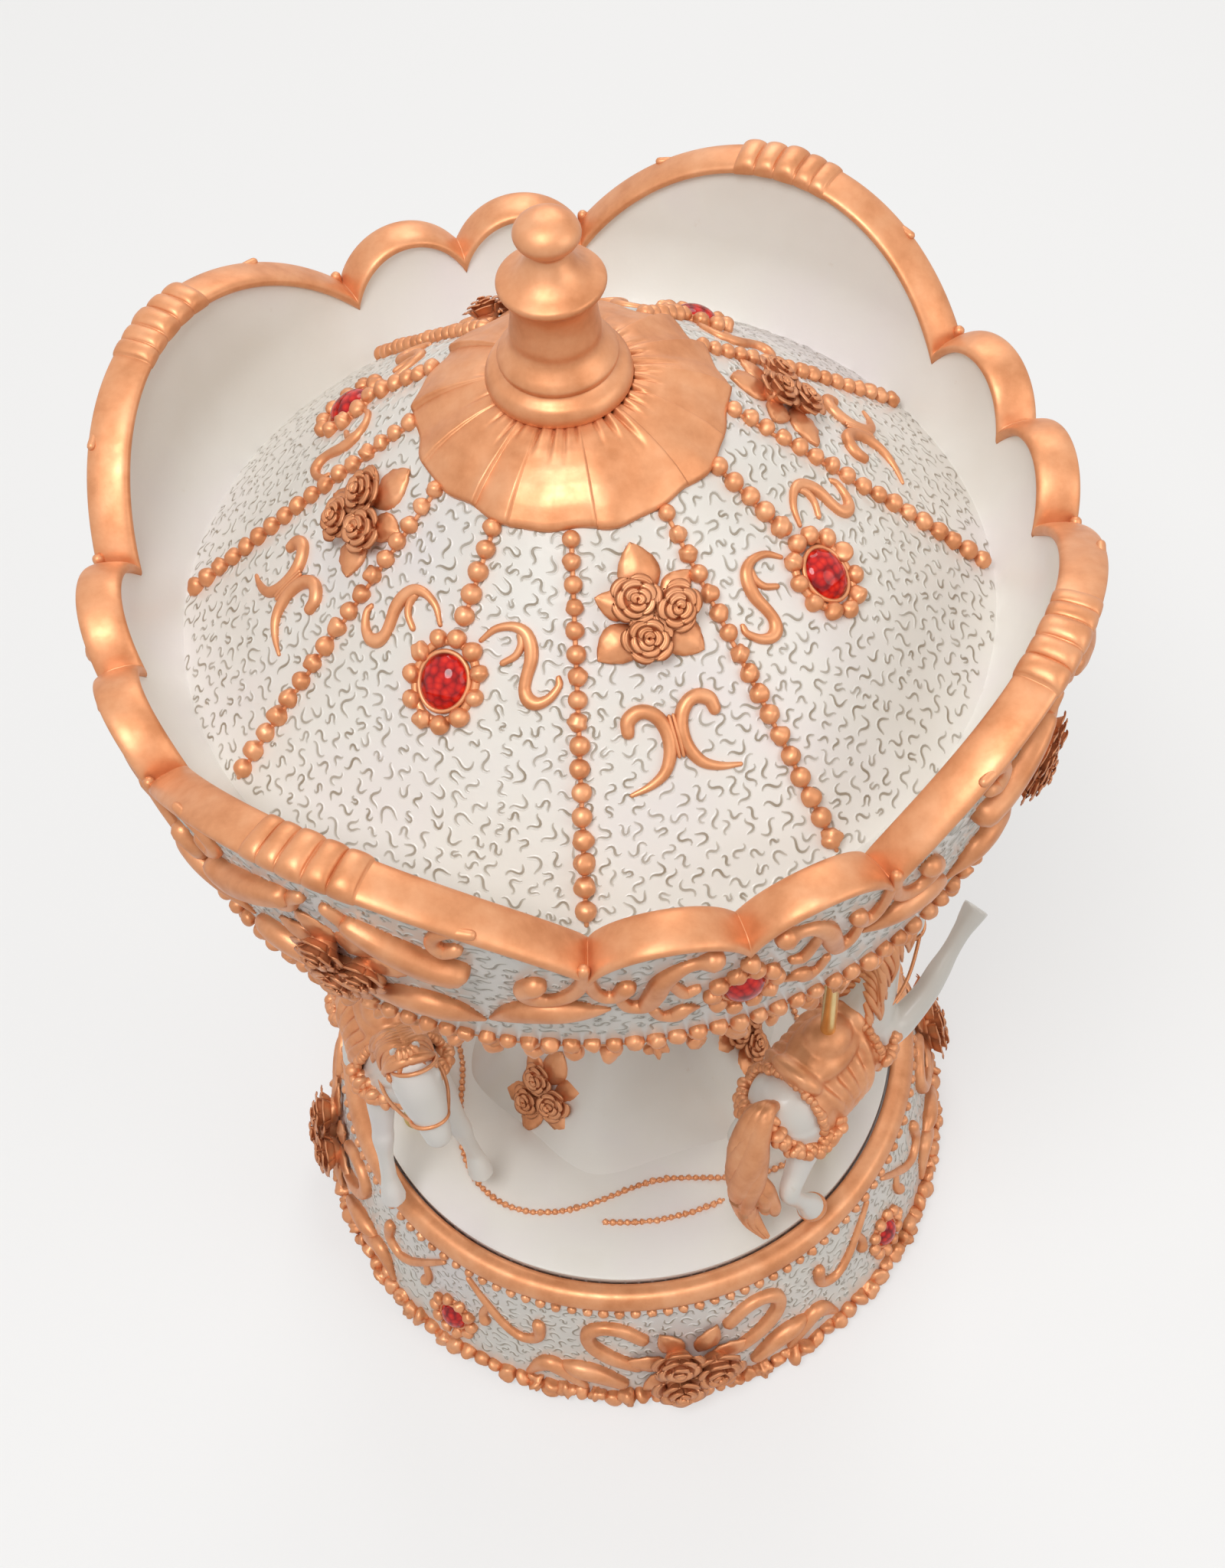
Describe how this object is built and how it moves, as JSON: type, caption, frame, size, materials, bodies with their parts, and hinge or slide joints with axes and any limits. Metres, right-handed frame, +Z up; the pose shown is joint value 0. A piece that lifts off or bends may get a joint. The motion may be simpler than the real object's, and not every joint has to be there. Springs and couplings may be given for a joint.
{
  "type": "carousel music box",
  "caption": "Wind-up carousel music box with a crowned canopy and horses on poles, on a turntable over a musical movement in the base.",
  "frame": {"origin": "on the axis of rotation, at the underside of the felt ring", "axes": "+Z up along the axis of rotation, -Y toward the front, +X to the viewer's right"},
  "size_m": [0.1452, 0.1452, 0.2498],
  "materials": {
    "pearl": "pearl paint on cast resin",
    "copper": "metallic copper paint on cast resin",
    "ruby": "polished red acrylic stone",
    "felt": "felt",
    "cover_board": "plain pressed board",
    "steel": "satin",
    "brass": "polished",
    "zinc": "as cast",
    "nylon": "natural",
    "spring_steel": "blued"
  },
  "bodies": {
    "base": {"felt_ring": "felt", "base_casting": "pearl", "base_ring": "copper", "base_bead_row": "copper", "base_foot_beads": "copper", "base_scrolls": "copper", "base_roses": "copper", "base_gem_settings": "copper", "base_gems": "ruby", "bottom_cover": "cover_board", "cover_screws": "steel", "bedplate": "zinc", "bedplate_screws": "steel", "comb": "steel", "comb_screws": "brass", "ratchet_click": "steel", "governor_bracket": "brass", "deck_bush": "brass", "thrust_washer": "nylon"},
    "key": {"winding_key": "brass", "winding_arbor": "steel", "ratchet_wheel": "steel"},
    "carousel": {"spring_barrel": "brass", "barrel_cover": "brass", "mainspring": "spring_steel", "drive_shaft": "brass", "turntable": "pearl", "turntable_beads": "copper", "column": "pearl", "column_roses": "copper", "centre_rod": "steel", "horse_1": "pearl", "horse_2": "pearl", "horse_3": "pearl", "tack_1": "copper", "tack_2": "copper", "tack_3": "copper", "mane_and_tail_1": "copper", "mane_and_tail_2": "copper", "mane_and_tail_3": "copper", "horse_poles": "brass", "ceiling": "pearl", "crown_wall": "pearl", "crown_rim": "copper", "crown_scrolls": "copper", "crown_roses": "copper", "crown_gem_settings": "copper", "crown_gems": "ruby", "bead_fringe": "copper", "roof": "pearl", "roof_bead_ribs": "copper", "roof_scrolls": "copper", "roof_roses": "copper", "roof_gem_settings": "copper", "roof_gems": "ruby", "finial": "copper"},
    "cylinder": {"pinned_cylinder": "brass", "cylinder_arbor": "steel"},
    "governor_wheel": {"governor_wheel": "brass"},
    "governor_fly": {"governor_fly": "steel"}
  },
  "joints": [
    {"name": "carousel_spin", "type": "hinge", "parent": "base", "child": "carousel", "pos_m": [0, 0, 0.0342], "axis": [0, 0, 1], "continuous": true},
    {"name": "winding", "type": "hinge", "parent": "base", "child": "key", "pos_m": [0, 0, 0.0135], "axis": [0, 0, 1], "range_deg": [0, 2160]},
    {"name": "cylinder_spin", "type": "hinge", "parent": "base", "child": "cylinder", "pos_m": [0.02, 0, 0.02513], "axis": [1, 0, 0], "continuous": true},
    {"name": "governor_wheel_spin", "type": "hinge", "parent": "base", "child": "governor_wheel", "pos_m": [0.0409, -0.00693, 0.02513], "axis": [1, 0, 0], "continuous": true},
    {"name": "governor_fly_spin", "type": "hinge", "parent": "base", "child": "governor_fly", "pos_m": [0.0426, -0.01191, 0.025], "axis": [0, 0, 1], "continuous": true}
  ],
  "couplings": [
    {"joint": "cylinder_spin", "follows": "carousel_spin", "ratio": 6},
    {"joint": "governor_wheel_spin", "follows": "carousel_spin", "ratio": -18},
    {"joint": "governor_fly_spin", "follows": "carousel_spin", "ratio": 144}
  ]
}
